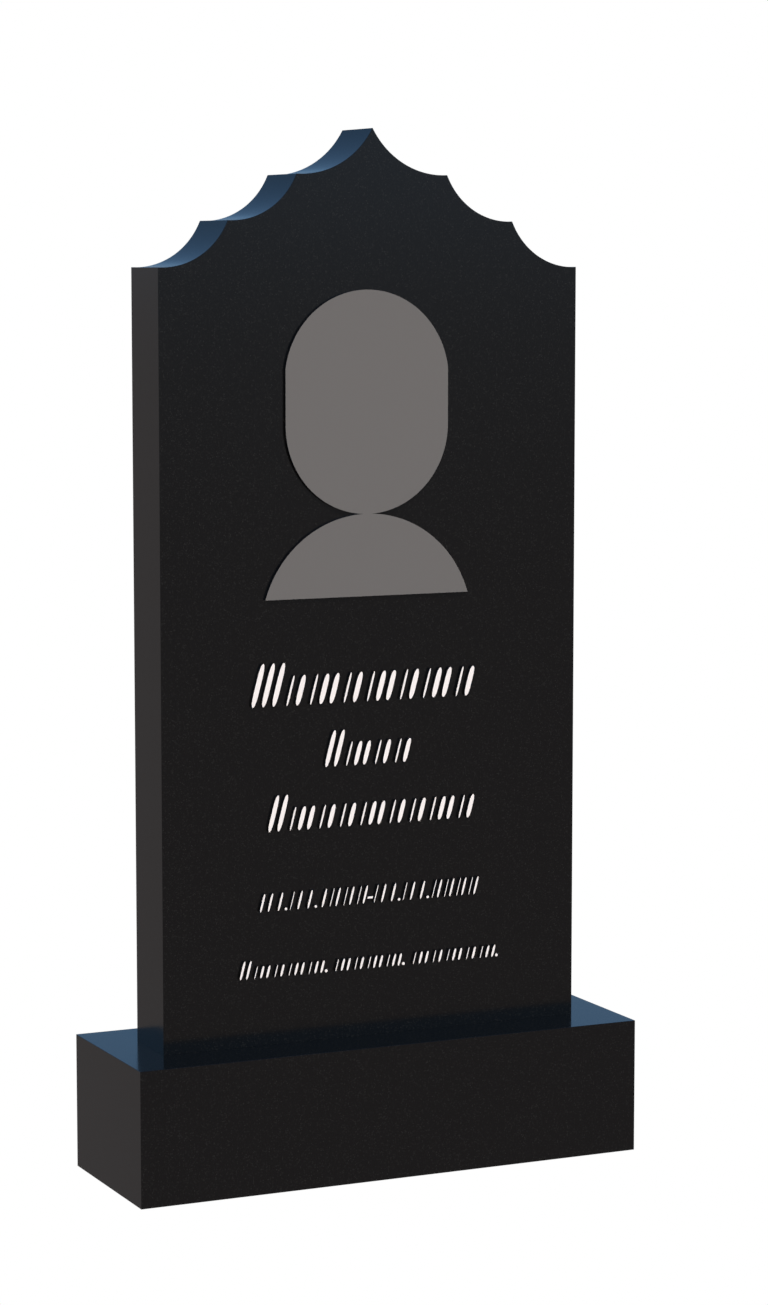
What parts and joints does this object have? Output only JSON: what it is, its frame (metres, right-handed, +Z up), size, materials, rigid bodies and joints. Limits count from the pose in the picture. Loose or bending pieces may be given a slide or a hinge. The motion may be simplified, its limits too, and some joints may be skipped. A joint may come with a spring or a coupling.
{
  "type": "headstone",
  "caption": "Upright headstone: a polished black granite slab with a scalloped, stepped top, a blank portrait relief and rows of strokes, standing on a rectangular plinth.",
  "frame": {"origin": "middle of the plinth's underside, on the ground", "axes": "+Z up along the slab's height, the carved front faces -Y, +X to the right seen from the front"},
  "size_m": [0.6, 0.2, 1.15],
  "materials": {
    "polished_black_granite": "polished",
    "matte_grey_face": "matte",
    "white_stroke_face": "matte"
  },
  "bodies": {
    "root": {"stele": "polished_black_granite", "plinth": "polished_black_granite"}
  },
  "joints": []
}
